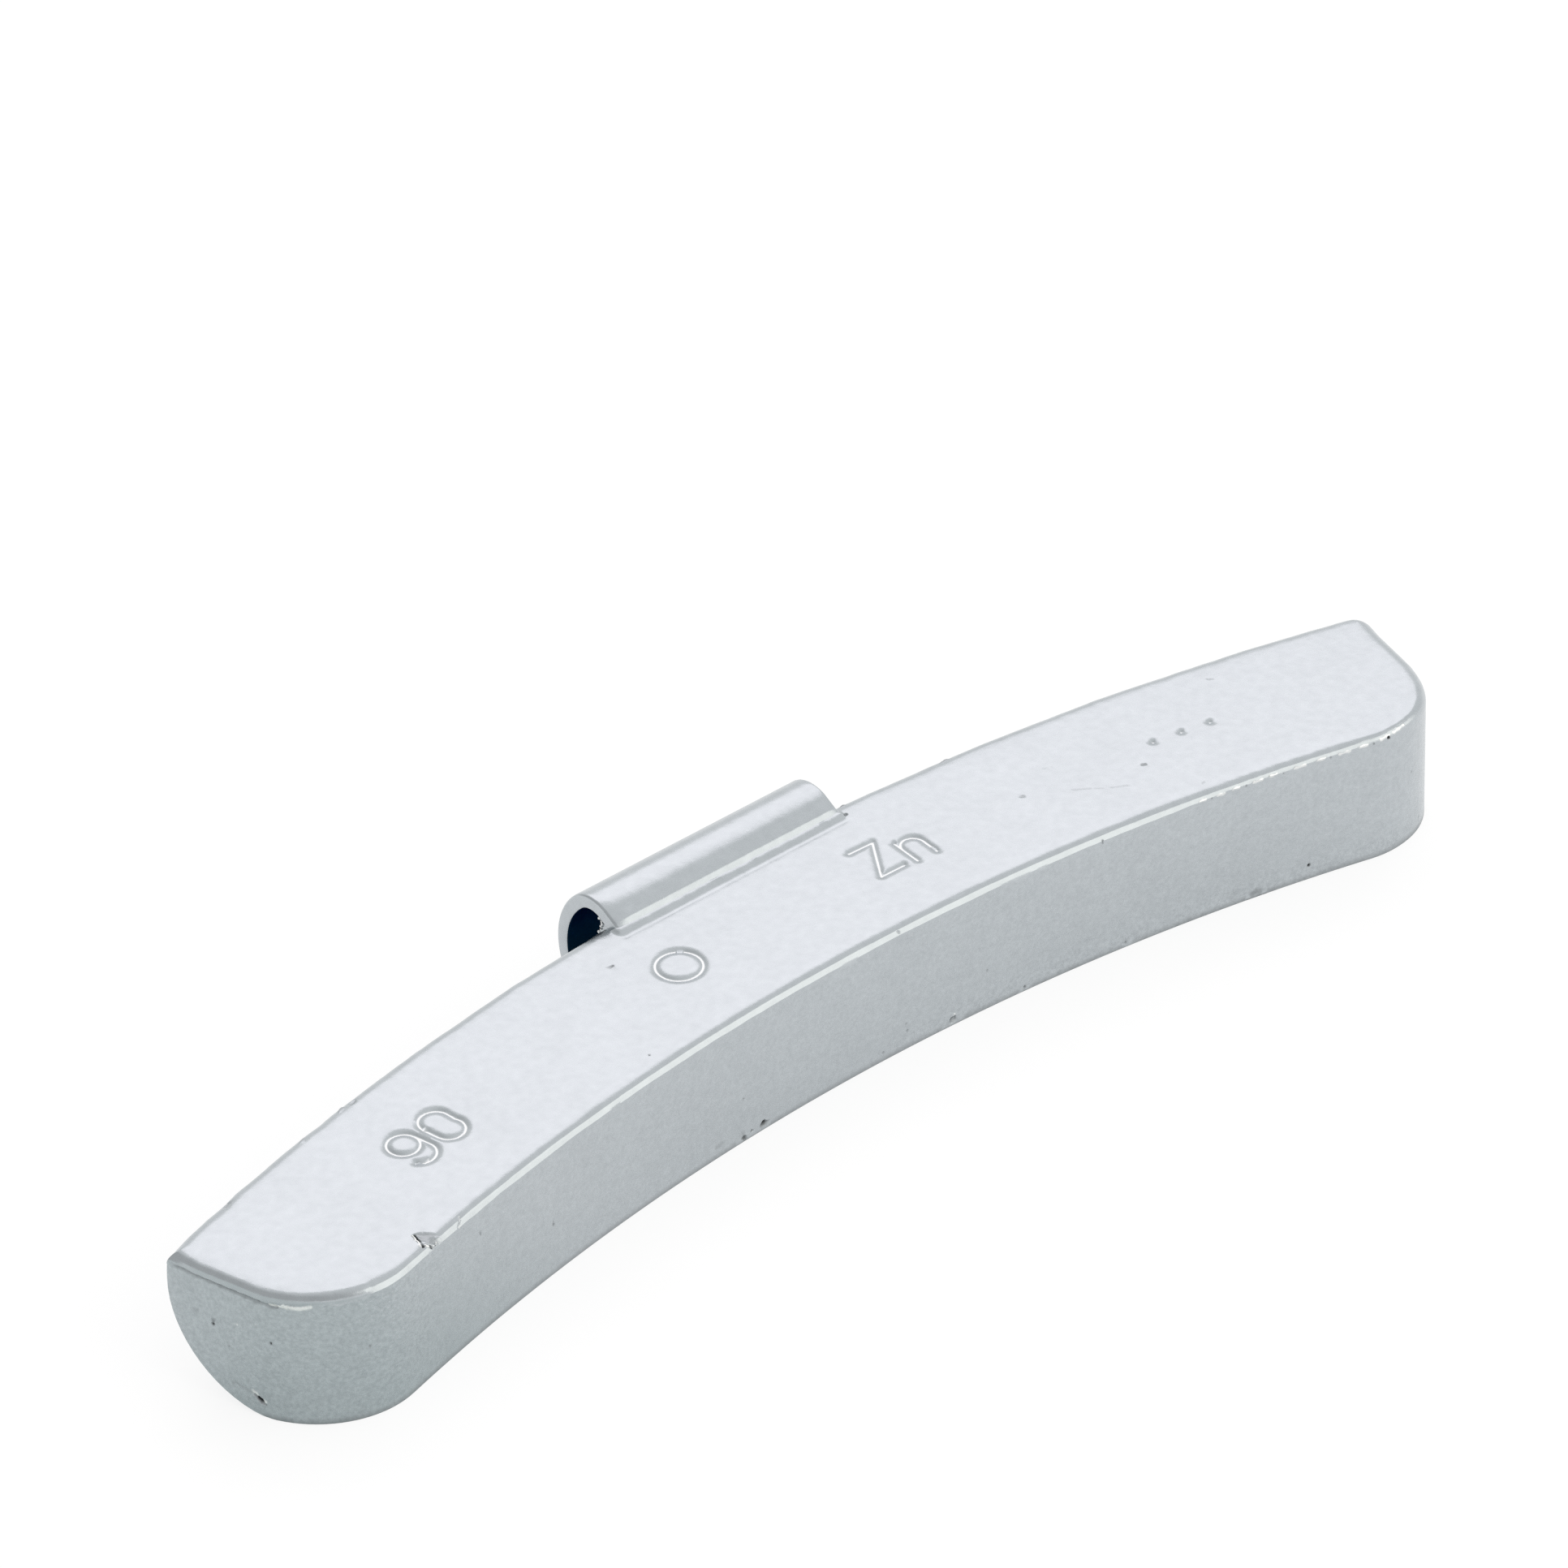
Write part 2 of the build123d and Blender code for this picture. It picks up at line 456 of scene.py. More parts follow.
flaws = [
    # scoop in the front edge with its slit and crumbs; the slit is painted black for the shade inside it
    {"line": [(-41.7, -2.55, 10.12), (-41.55, -3.2, 10.0)], "wide": 0.66,
     "push": (0, 0.06, -0.11), "dirtAndShade": 0.24},
    {"line": [(-41.93, -2.1, 10.15), (-42.2, -2.7, 10.1), (-42.45, -3.15, 10.0)], "wide": 0.11,
     "push": (0, 0, -0.2), "dirtAndShade": 1.0},
    {"line": [(-42.07, -2.04, 10.15), (-42.34, -2.64, 10.13), (-42.6, -3.1, 10.03)], "wide": 0.11,
     "push": (0, 0, 0.05), "bare": 1.0},
    {"line": [(-42.25, -3.2, 10.0), (-42.15, -3.3, 9.9)], "wide": 0.13,
     "push": (0, -0.06, 0.06), "bare": 0.7},
    {"line": [(-41.83, -3.42, 9.78), (-41.72, -3.44, 9.76)], "wide": 0.12,
     "push": (0, -0.06, 0.06), "bare": 0.6},
    {"line": [(-41.5, -3.4, 9.8), (-41.42, -3.42, 9.8)], "wide": 0.12, "push": (0, -0.05, 0.07), "bare": 0.6},
    {"line": [(-41.98, -3.35, 9.88), (-41.95, -3.45, 9.75)], "wide": 0.1,
     "push": (0, 0.06, -0.04), "dirtAndShade": 0.6},
    {"line": [(-41.62, -3.38, 9.85), (-41.6, -3.48, 9.7)], "wide": 0.1,
     "push": (0, 0.06, -0.04), "dirtAndShade": 0.5},
    # bright flake under the edge of the front left corner
    {"line": [onCorner(59, 9.27), onCorner(64, 9.12), onCorner(69, 9.17), onCorner(73, 9.26)], "wide": 0.19,
     "push": (-0.03, -0.02, 0.02), "bare": 1.0},
    {"line": [onCorner(71, 9.12), onCorner(80, 9.2)], "wide": 0.15,
     "push": (-0.02, -0.02, 0.02), "bare": 1.0},
    # broken and notched places along the front edge
    {"line": [(-38.62, -3.25, 9.98), (-39.1, -3.55, 9.6)], "wide": 0.13,
     "push": (0, 0.04, -0.05), "bare": 0.25},
    {"line": [onFront(4.0, 10.0), onFront(4.15, 9.85)], "wide": 0.2, "push": (0, 0.08, -0.08), "dirtAndShade": 0.35},
    {"line": [onFront(4.5, 10.1), onFront(4.7, 10.05)], "wide": 0.18, "push": (0, -0.03, 0.04)},
    {"line": [onFront(9.5, 10.1), onFront(9.7, 10.05)], "wide": 0.2, "push": (0, -0.03, 0.03)},
    {"line": [onFront(22.0, 9.9), onFront(22.06, 9.4)], "wide": 0.1, "push": (0, 0.05, 0), "dirtAndShade": 0.4},
    {"line": [onFront(45.98, 9.63, -0.13)] * 2, "wide": 0.17, "push": (0, 0.14, 0), "dirtAndShade": 1.0},
    # torn bits of the worn edge
    *[{"line": [onFront(x, z), onFront(x + run, z)], "wide": 0.14, "push": (0, -0.02, 0.02), "bare": 0.8}
      for x, z, run in ((30.3, 9.70, 0.5), (31.8, 9.63, 0.6), (33.1, 9.70, 0.5), (34.8, 9.66, 0.7),
                        (36.2, 9.71, 0.5), (38.2, 9.66, 0.9), (40.1, 9.70, 0.6), (41.9, 9.64, 0.9),
                        (43.6, 9.68, 0.6))],
    {"line": [onFront(45.3, 9.74, -0.04), onFront(46.1, 9.84, -0.16)], "wide": 0.17, "push": (0, -0.02, 0.02),
     "bare": 0.8},
    {"line": [onFront(46.5, 9.86, -0.28), onFront(47.5, 9.97, -0.62)], "wide": 0.19, "push": (0, -0.02, 0.02),
     "bare": 0.9},
    *[{"line": [onFront(x, z)] * 2, "wide": 0.11, "push": (0, 0.03, 0), "dirtAndShade": 0.4} for x, z in (
        (31.3, 9.58), (34.2, 9.6), (37.3, 9.58), (41.2, 9.6), (44.7, 9.62))],
    # pits of the front wall, painted dark for the shade inside them
    {"line": [onFront(-29.5, 3.9)] * 2, "wide": 0.14, "push": (0, 0.08, 0), "dirtAndShade": 0.5},
    {"line": [onFront(39.6, 1.13)] * 2, "wide": 0.2, "push": (0, 0.16, 0), "dirtAndShade": 1.0},
    {"line": [onFront(-10.7, 0.32), onFront(-10.5, 0.26)], "wide": 0.22, "push": (0, 0.14, 0), "dirtAndShade": 0.7},
    {"line": [onFront(-9.85, 0.5)] * 2, "wide": 0.17, "push": (0, 0.10, 0), "dirtAndShade": 0.5},
    {"line": [onFront(-8.9, 0.46), onFront(-8.65, 0.52)], "wide": 0.26, "push": (0, 0.22, 0), "dirtAndShade": 1.0},
    {"line": [onFront(-10.6, 3.5)] * 2, "wide": 0.13, "push": (0, 0.06, 0), "dirtAndShade": 0.3},
    {"line": [onFront(-13.3, 0.91), onFront(-12.7, 0.95)], "wide": 0.25, "push": (0, 0.05, 0), "dirtAndShade": 0.15},
    {"line": [onFront(8.7, 0.42), onFront(9.0, 0.55)], "wide": 0.28, "push": (0, 0.16, 0), "dirtAndShade": 0.4},
    {"line": [onFront(8.95, 0.85)] * 2, "wide": 0.2, "push": (0, -0.05, 0), "bare": 0.4},
    {"line": [onFront(4.63, 2.11)] * 2, "wide": 0.13, "push": (0, 0.07, 0), "dirtAndShade": 0.4},
    {"line": [onFront(4.7, 1.46)] * 2, "wide": 0.12, "push": (0, 0.07, 0), "dirtAndShade": 0.35},
    {"line": [onFront(11.93, 3.15)] * 2, "wide": 0.14, "push": (0, 0.07, 0), "dirtAndShade": 0.4},
    {"line": [onFront(15.3, 0.34)] * 2, "wide": 0.17, "push": (0, 0.10, 0), "dirtAndShade": 0.5},
    {"line": [onFront(24.08, 0.39)] * 2, "wide": 0.15, "push": (0, 0.08, 0), "dirtAndShade": 0.4},
    {"line": [onFront(2.52, 0.72)] * 2, "wide": 0.14, "push": (0, 0.07, 0), "dirtAndShade": 0.35},
    {"line": [onFront(35.0, 0.4), onFront(35.5, 0.42)], "wide": 0.4, "push": (0, 0.04, 0), "dirtAndShade": 0.3},
    {"line": [onFront(48.37, 5.54, -1.09)] * 2, "wide": 0.13, "push": (0, 0.05, 0), "dirtAndShade": 0.3},
    {"line": [onFront(-36.97, 7.9), onFront(-36.9, 7.6)], "wide": 0.12, "push": (0, 0.06, 0), "dirtAndShade": 0.3},
    {"line": [onFront(-48.06, 5.49, -0.9)] * 2, "wide": 0.2, "push": (0.03, 0.06, 0), "dirtAndShade": 0.35},
    # groove under the edge of the left end, and its pits, painted dark for the shade in them
    {"line": [onLeft(9.4, 9.3), onLeft(6.5, 9.2), onLeft(3.6, 9.12), onCorner(76, 9.05)], "wide": 0.24,
     "push": (0.05, 0, 0), "dirtAndShade": 0.3},
    {"line": [onLeft(2.75, 0.98), onLeft(3.17, 1.31), onLeft(3.57, 1.58)], "wide": 0.15,
     "push": (0.10, 0, 0), "dirtAndShade": 0.3},
    {"line": [onLeft(3.1, 1.27), onLeft(3.25, 1.35)], "wide": 0.27, "push": (0.22, 0, 0), "dirtAndShade": 1.0},
    {"line": [onLeft(2.78, 1.22), onLeft(2.95, 1.3)], "wide": 0.16, "push": (-0.05, 0, 0), "bare": 1.0},
    {"line": [onLeft(3.35, 1.62), onLeft(3.6, 1.8)], "wide": 0.14, "push": (-0.05, 0, 0), "bare": 0.8},
    {"line": [onLeft(3.9, 1.66), onLeft(4.86, 1.82), onLeft(5.3, 1.85)], "wide": 0.16,
     "push": (0.03, 0, 0), "dirtAndShade": 0.12},
    {"line": [onLeft(6.68, 5.9)] * 2, "wide": 0.15, "push": (0.09, 0, 0), "dirtAndShade": 1.0},
    {"line": [onCorner(80, 6.05)] * 2, "wide": 0.15, "push": (0.09, 0, 0), "dirtAndShade": 0.9},
    {"line": [onLeft(4.77, 6.61)] * 2, "wide": 0.14, "push": (-0.04, 0, 0), "bare": 1.0},
    {"line": [onLeft(5.44, 4.61)] * 2, "wide": 0.14, "push": (0.05, 0, 0), "dirtAndShade": 0.25},
    {"line": [onLeft(3.37, 7.22)] * 2, "wide": 0.12, "push": (-0.03, 0, 0), "bare": 0.4},
    {"line": [onLeft(7.83, 6.54)] * 2, "wide": 0.11, "push": (0.03, 0, 0), "dirtAndShade": 0.15},
    # specks and scratches of the marked face
    {"line": [onTop(20.1, 3.2), onTop(20.3, 3.15)], "wide": 0.2, "push": (0, 0, -0.05), "dirtAndShade": 0.2},
    {"line": [onTop(-17.8, -2.0)] * 2, "wide": 0.15, "push": (0, 0, -0.05), "dirtAndShade": 0.6},
    {"line": [onTop(-12.46, 6.51)] * 2, "wide": 0.15, "push": (0, 0, -0.05), "dirtAndShade": 0.6},
    {"line": [onTop(29.05, 1.65), onTop(29.3, 1.6)], "wide": 0.17, "push": (0, 0, -0.06), "dirtAndShade": 0.35},
    {"line": [onTop(23.47, 1.86), onTop(24.56, 1.31)], "wide": 0.12, "push": (0, 0, -0.015), "dirtAndShade": 0.08},
    {"line": [onTop(24.81, 1.15), onTop(25.32, 0.86)], "wide": 0.12, "push": (0, 0, -0.012), "dirtAndShade": 0.06},
    {"line": [onTop(25.75, 0.66), onTop(26.9, 0.19)], "wide": 0.12, "push": (0, 0, -0.015), "dirtAndShade": 0.08},
    {"line": [onTop(23.25, 5.01), onTop(23.88, 4.95)], "wide": 0.11, "push": (0, 0, -0.012), "dirtAndShade": 0.08},
    {"line": [onTop(38.34, 7.9), onTop(38.7, 7.75)], "wide": 0.12, "push": (0, 0, -0.02), "dirtAndShade": 0.15},
    {"line": [onTop(31.28, -2.33), onTop(31.5, -2.3)], "wide": 0.12, "push": (0, 0, -0.02), "dirtAndShade": 0.15},
    # notch beside the clip and burrs of the convex edge
    {"line": [onTop(9.52, 8.66), onTop(9.72, 8.78)], "wide": 0.16, "push": (0, 0, -0.09), "dirtAndShade": 0.4},
    {"line": [(-34.6, 9.7, 10.0), (-34.2, 9.85, 9.9)], "wide": 0.22, "push": (0, 0.07, 0.07), "dirtAndShade": 0.2},
    {"line": [(-33.6, 9.6, 10.05), (-33.2, 9.7, 10.0)], "wide": 0.24, "push": (0, -0.05, -0.09), "dirtAndShade": 0.2},
    {"line": [(-38.3, 9.7, 10.0), (-38.0, 9.8, 9.9)], "wide": 0.22, "push": (0, 0.06, 0.06), "dirtAndShade": 0.15},
    {"line": [(-45.9, 9.7, 9.95), (-45.5, 9.8, 9.9)], "wide": 0.3, "push": (0, -0.05, -0.08), "dirtAndShade": 0.15},
    {"line": [(18.4, 9.7, 9.95), (18.75, 9.8, 9.85)], "wide": 0.25, "push": (0, 0.07, 0.08), "dirtAndShade": 0.3},
    {"line": [(10.1, 9.75, 9.95), (10.35, 9.8, 9.85)], "wide": 0.22, "push": (0, 0.06, 0.10), "dirtAndShade": 0.5},
]


# coat gathered in front of the clip: its height by the distance behind the clip's line
seam = {
    "behind": (-0.82, -0.66, -0.50, -0.38, -0.22, -0.05, 0.12, 0.5),
    "rise": (0, -0.02, -0.05, -0.035, 0.05, 0.16, 0.25, 0.25),
    "ends": (-9.75, 9.35),
    "half": 10.4,            # finer faces reach this far along the bar
    "middle": -0.35,
    "reach": 0.75,
}


def refine(piece):
    # finer faces where the flaws and the clip's seam will be
    for cuts, low, high in ((2, 0.2, 9), (4, 0, 0.2)):
        middles = faceMiddles(piece)
        mask = np.zeros(len(middles), bool)
        for flaw in flaws:
            if low < flaw["wide"] <= high:
                mask |= strokeGap(middles, flaw["line"]) < flaw["wide"] + 0.2
        if cuts == 2:
            mask |= ((np.abs(seamGap(middles) - seam["middle"]) < seam["reach"])
                     & (np.abs(middles[:, 0]) < seam["half"]) & (middles[:, 2] > bar["height"] - 0.05))
        takeFaces(piece, mask)
        bpy.ops.mesh.subdivide(number_cuts=cuts)
        leave()
    print("refined:", len(piece.data.polygons), "faces")


def seamGap(spots):
    # how far behind the line where the clip leaves the marked face
    away = clip["edgeY"] - clip["setback"] - bar["axisY"]
    return spots[:, 1] + bar["neutral"] - away / np.cos(spots[:, 0] / bar["neutral"])


def sculpt(piece):
    spots = points(piece)
    dirtAndShade, bare = np.zeros(len(spots)), np.zeros(len(spots))
    face = spots[:, 2] > bar["height"] - 0.3
    there = face & (np.abs(spots[:, 0]) < seam["half"])
    gap = seamGap(spots[there])
    ends = smoothStep(spots[there, 0], seam["ends"][0] - 0.35, seam["ends"][0] + 0.1)
    ends *= 1 - smoothStep(spots[there, 0], seam["ends"][1] - 0.1, seam["ends"][1] + 0.35)
    rise = np.interp(gap, seam["behind"], seam["rise"]) * (gap < 0.55)
    spots[there, 2] += rise * ends * (1 + 0.12 * wave(spots[there], 0.8, 3))
    start = spots.copy()
    for flaw in flaws:
        gap = strokeGap(start, flaw["line"])
        gap = gap * (1 + 0.25 * np.sin(9 * start[:, 0] + 5 * start[:, 2] + 7 * start[:, 1]))
        depth = bell(gap, flaw["wide"])
        spots += depth[:, None] * flaw["push"]
        dirtAndShade = np.maximum(dirtAndShade, flaw.get("dirtAndShade", 0) * np.minimum(1, 1.6 * depth))
        bare = np.maximum(bare, flaw.get("bare", 0) * np.minimum(1, 1.6 * depth))
    # a highlight painted along the bottom of each mark, in the bare tone
    marked = markGap(start[face, :2])
    highlightShare = 1 - smoothStep(marked, marks["bright"] - 0.03, marks["bright"] + 0.03)
    bare[face] = np.maximum(bare[face], 0.55 * highlightShare)
    # uneven faces
    spots[:, 2] += np.where(spots[:, 2] > 10.0, 0.010 * wave(start, 5.5, 1) - 0.008, 0)
    wall = (spots[:, 2] < 9.4) & (spots[:, 2] > 0.02)
    dent = 0.012 * wave(start, 4.5, 5) + 0.004 + 0.012 * smoothStep(np.abs(start[:, 0]), 28, 40)
    spots[:, 1] += np.where(wall & (spots[:, 1] < -2), dent, 0)
    spots[:, 0] += np.where(wall & (spots[:, 0] < -50), 0.012 * wave(start, 4.0, 6) + 0.012, 0)
    movePoints(piece, spots)
    # a dark line painted along the foot, standing in for the contact shadow on the floor
    dirtAndShade = np.maximum(dirtAndShade, 0.35 * (1 - smoothStep(start[:, 2], 0.03, 0.13)))
    front = start[:, 1] < bar["front"] + 0.1
    sand = front * (1 - smoothStep(start[:, 2], 0.9, 2.6)) * smoothStep(start[:, 0], -2, 8)
    sand = np.maximum(sand, wall * (0.5 + 0.5 * smoothStep(-start[:, 0], 40, 45)))
    paintPoints(piece, "dirtAndShade", dirtAndShade)
    paintPoints(piece, "bare", bare)
    paintPoints(piece, "sand", sand)


def bendBar(piece):
    spots = points(piece)
    run = np.ptp(spots[:, 0])
    x, y = spots[:, 0].copy(), spots[:, 1].copy()
    near, far = bar["leftTrim"]
    spots[:, 0] += (near + (far - near) * smoothStep(y, 3, 10)) * smoothStep(-x, 44, 51)
    spots[:, 0] += bar["rightPush"] * smoothStep(x, 42, 51) * (1 - 1.25 * smoothStep(y, 3, 8.5))
    spots[:, 1] += (0.16 * smoothStep(x, 14, 32) + 0.13 * smoothStep(x, 36, 50)) * smoothStep(y, 6, 9)
    corner = np.stack([x - bar["length"] / 2 + bar["frontCorner"],
                       y - bar["front"] - bar["frontCorner"]], axis=1)
    reach = np.maximum(np.linalg.norm(corner, axis=1), 0.1)
    turn = np.degrees(np.arctan2(corner[:, 0], -corner[:, 1]))
    out = np.where((corner[:, 0] > 0) & (corner[:, 1] < 0), bell(np.abs(turn - 50), 34), 0)
    out *= smoothStep(reach, 4.5, 6.5)
    spots[:, :2] += bar["rightCorner"] * (out / reach)[:, None] * corner
    movePoints(piece, spots)
    addModifier(piece, "SIMPLE_DEFORM", deform_method="BEND", deform_axis="Z", angle=-run / bar["neutral"])
    spots = points(piece)
    spots[:, 1] += bar["neutral"] + bar["axisY"]
    movePoints(piece, spots)


def closeUp(piece):
    # slivers that the cuts left
    workOn(piece)
    edit()
    bpy.ops.mesh.select_all(action="SELECT")
    bpy.ops.mesh.remove_doubles(threshold=1e-3)
    bpy.ops.mesh.dissolve_degenerate(threshold=1e-3)
    bpy.ops.mesh.quads_convert_to_tris()
    leave()
    print("closed:", len(piece.data.polygons), "faces")


# spring clip: a strip drawn out of the bar, over the crown and down behind

clip = {
    "width": 20.0,
    "gauge": 1.05,
    "edgeY": 7.5306,         # convex edge of the bar at its middle
    "setback": 1.732,
    "slope": 30.5,
    "crownHeight": 1.294,
    "crownRadius": 1.6,
    "shoulder": 44.0,
    "bowRadius": 4.8,
    "bowAngle": 86.0,
    "tail": 6.0,
    "corner": 0.2,
    "aside": -0.2,           # sits a little to the left
    # how far the coated strip stands out near the bar, by the distance up the strip
    "beadAt": (-0.6, 0.05, 0.18, 0.755, 1.84, 2.3, 2.8, 3.0),
    "bead": (0, 0, 0.03, 0.21, 0.125, 0.065, 0.015, 0),
    # flash of the casting that fills the wedge at the left end: y, z
    "flash": ((6.9, 9.68), (7.98, 10.36), (8.02, 10.2), (7.84, 10.05), (7.74, 9.88), (7.82, 9.7),
              (7.78, 9.52), (7.94, 9.3), (8.07, 9.05), (7.98, 8.8), (7.6, 8.35), (7.0, 8.1)),
    # bright crumbs on it: y, z, size
    "crumbs": ((7.95, 10.22, 0.13), (7.79, 10.0, 0.09), (7.74, 9.86, 0.12), (7.80, 9.64, 0.11),
               (7.9, 9.33, 0.07), (8.05, 9.05, 0.12)),
}
cutEnd = clip["aside"] - clip["width"] / 2         # its left end, where the wedge shows


def makeClip():
    slope, shoulder, gauge = math.radians(clip["slope"]), math.radians(clip["shoulder"]), clip["gauge"]
    crownOuter = clip["crownRadius"] + gauge
    bowOuter = clip["bowRadius"] + gauge
    drop = crownOuter - clip["crownHeight"]
    crownY = clip["edgeY"] + (crownOuter - drop * math.cos(slope)) / math.sin(slope) - clip["setback"]
    crownZ = bar["height"] - drop
    bowY = crownY - (bowOuter - crownOuter) * math.sin(shoulder)
    bowZ = crownZ - (bowOuter - crownOuter) * math.cos(shoulder)
    along = Vector((0, math.cos(slope), math.sin(slope)))
    root = Vector((0, clip["edgeY"] - clip["setback"] + gauge / 2 * math.sin(slope),
                   bar["height"] - gauge / 2 * math.cos(slope)))
    crownLine = clip["crownRadius"] + gauge / 2
    legEnd = Vector((0, crownY - crownLine * math.sin(slope), crownZ + crownLine * math.cos(slope)))
    start = root - along * clip["tail"]
    letGo()
    bpy.ops.mesh.primitive_plane_add(size=1, location=start, rotation=(slope - math.pi / 2, 0, 0))
    piece = bpy.context.object
    piece.name = "rolled_clip"
    piece.scale = (clip["width"], gauge, 1)
    settle()
    edit()
    pick("verts", lambda v: True)
    bpy.ops.mesh.bevel(offset=clip["corner"], segments=4, affect="VERTICES", clamp_overlap=False)
    pick("edges", lambda e: e.calc_length() > 10)
    bpy.ops.mesh.subdivide(number_cuts=49)
    bpy.ops.mesh.select_all(action="SELECT")
    leg = (legEnd - start).length
    bare = leg - clip["tail"]
    for step in [clip["tail"] - 1.2] + [0.15] * 8 + [bare / 26] * 26:
        bpy.ops.mesh.extrude_region_move(TRANSFORM_OT_translate={"value": along * step})
    bpy.ops.mesh.spin(steps=22, angle=math.radians(clip["slope"] + clip["shoulder"]),
                      center=(0, crownY, crownZ), axis=(1, 0, 0))
    bpy.ops.mesh.spin(steps=30, angle=math.radians(clip["bowAngle"]), center=(0, bowY, bowZ), axis=(1, 0, 0))
    bpy.ops.mesh.select_all(action="SELECT")
    bpy.ops.mesh.remove_doubles(threshold=1e-4)
    bpy.ops.mesh.normals_make_consistent(inside=False)
    leave()
    heart = Vector((0, (crownY + bowY) / 2, (crownZ + bowZ) / 2))     # the roll's inside faces it

    # bead of coat along the outer foot of the strip
    spots = points(piece)
    along = np.array(along)
    over = np.array((0, -along[2], along[1]))
    up = (spots - root) @ along
    out = (spots - root) @ over
    turn = np.arctan2(crownY - spots[:, 1], spots[:, 2] - crownZ)          # slope on the crown
    onCrown = (up > bare) & (spots[:, 2] > crownZ) & (turn > 0)
    arcUp = bare + (slope - turn) * crownOuter
    reach = np.where(onCrown, arcUp, up)
    outside = np.hypot(spots[:, 1] - crownY, spots[:, 2] - crownZ) > crownLine + 0.1
    outer = np.where(onCrown, outside, (out > 0.1) & (up <= bare))
    away = np.where(onCrown[:, None], np.stack([0 * turn, -np.sin(turn), np.cos(turn)], axis=1), over)
    ends = smoothStep(clip["width"] / 2 - np.abs(spots[:, 0]), 0.0, 0.9) * 0.6 + 0.4
    size = np.interp(reach, clip["beadAt"], clip["bead"]) * ends * (1 + 0.08 * wave(spots, 1.1, 8))
    spots += np.where(outer[:, None], away * size[:, None], 0)
    spots[:, 0] += clip["aside"]
    movePoints(piece, spots)
    print("clip:", len(piece.data.polygons), "faces")
    return piece, heart


def fillWedge(piece):
    letGo()
    bpy.ops.mesh.primitive_circle_add(vertices=len(clip["flash"]), radius=1, fill_type="NGON")
    flash = bpy.context.object
    movePoints(flash, np.array([(cutEnd + 0.12, y, z) for y, z in clip["flash"]]))
    edit()
    bpy.ops.mesh.select_all(action="SELECT")
    bpy.ops.mesh.extrude_region_move(TRANSFORM_OT_translate={"value": (1.2, 0, 0)})
    pick("faces", lambda f: f.calc_center_median().x < cutEnd + 0.13)
    bpy.ops.mesh.poke()
    bpy.ops.mesh.subdivide(number_cuts=5)
    bpy.ops.mesh.select_all(action="SELECT")
    bpy.ops.mesh.normals_make_consistent(inside=False)
    leave()
    spots = points(flash)
    near = 1 - smoothStep(spots[:, 0], cutEnd + 0.2, cutEnd + 0.6)
    for axis in range(3):
        spots[:, axis] += 0.07 * near * wave(points(flash), 0.28, 20 + axis)
    movePoints(flash, spots)
    flash.data.materials.append(piece.data.materials[0])
    joinTo(piece, [flash])


def addCrumbs(piece):
    crumbs = []
    for number, (y, z, size) in enumerate(clip["crumbs"]):
        letGo()
        bpy.ops.mesh.primitive_ico_sphere_add(subdivisions=3, radius=size, location=(cutEnd + 0.1, y, z))
        crumb = bpy.context.object
        settle()
        spots = points(crumb)
        heart = spots.mean(axis=0)
        spots = heart + (spots - heart) * (1 + 0.45 * wave(spots, 0.16, number))[:, None]
        movePoints(crumb, spots)
        crumb.data.materials.append(piece.data.materials[0])
        paintPoints(crumb, "bare", np.full(len(spots), 0.8))
        crumbs.append(crumb)
    joinTo(piece, crumbs)


def steelAndShadeInside(piece, heart):
    # the coat doesn't reach into the roll, and the near-black steel there also paints the shade inside the
    # roll
    workOn(piece)
    piece.active_material_index = 1
    edit()

    def facesHeart(face):
        inward = heart - face.calc_center_median()
        inward.x = 0
        return face.normal.dot(inward.normalized()) > 0.6
    pick("faces", facesHeart)
    bpy.ops.object.material_slot_assign()
    leave()


# finishes

class Wire:
    # a node's output that can be added, taken away and scaled
    def __init__(self, tree, socket):
        self.tree, self.socket = tree, socket

    def sum(self, operation, first, second):
        return self.tree.node("ShaderNodeMath", {"operation": operation}, [first, second])

    def __add__(self, other):
        return self.sum("ADD", self, other)

    def __sub__(self, other):
        return self.sum("SUBTRACT", self, other)

    def __rsub__(self, other):
        return self.sum("SUBTRACT", other, self)

    def __mul__(self, other):
        return self.sum("MULTIPLY", self, other)

    __radd__ = __add__
    __rmul__ = __mul__


class Finish:
    def __init__(self, owner):
        owner.use_nodes = True
        self.nodes, self.links = owner.node_tree.nodes, owner.node_tree.links
        self.nodes.clear()

    def node(self, kind, settings=None, inputs=None, output=0):
        made = self.nodes.new(kind)
        for name, value in (settings or {}).items():
            setattr(made, name, value)
        pairs = inputs.items() if isinstance(inputs, dict) else enumerate(inputs or [])
        for name, value in pairs:
            if isinstance(value, Wire):
                self.links.new(value.socket, made.inputs[name])
            else:
                made.inputs[name].default_value = value
        return Wire(self, made.outputs[output]) if made.outputs else None


def blend(tree, share, none, full):
    # colour between the two
    return tree.node("ShaderNodeMix", {"data_type": "RGBA"}, {0: share, 6: none, 7: full}, 2)


coat = {
    "light": (0.505, 0.540, 0.562, 1),
    "dark": (0.412, 0.442, 0.462, 1),
    # near black, for dark dirt and for shade painted into pits, cracks, grooves and along the foot
    "dirtAndShade": (0.012, 0.014, 0.016, 1),
    # light tone of bare metal, also used for the highlight painted along the marks
    "bare": (0.80, 0.81, 0.80, 1),
    "roughness": 0.27,
}


